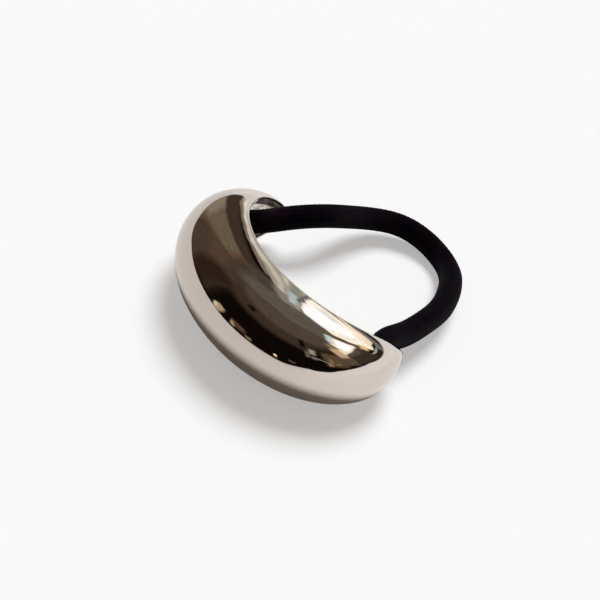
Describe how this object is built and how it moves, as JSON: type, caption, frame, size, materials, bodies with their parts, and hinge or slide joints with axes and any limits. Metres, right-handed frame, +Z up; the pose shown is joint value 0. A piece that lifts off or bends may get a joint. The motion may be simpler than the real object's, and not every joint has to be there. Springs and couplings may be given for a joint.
{
  "type": "ponytail cuff",
  "caption": "Polished metal half-dome ponytail cuff, open behind, with a thick round black elastic loop that closes it round the hair.",
  "frame": {"origin": "on the surface that the cuff stands on, under the middle of the shell's own box", "axes": "+X along the width of the C from end to end, +Y from the dome to the elastic, +Z up"},
  "size_m": [0.0606, 0.0745, 0.0216],
  "materials": {
    "polished_metal": "mirror-polished silver-coloured plating with fine wear",
    "elastic_cover": "matte black fine knitted cover over a rubber core"
  },
  "bodies": {
    "root": {"cuff_shell": "polished_metal", "elastic_loop": "elastic_cover"}
  },
  "joints": []
}
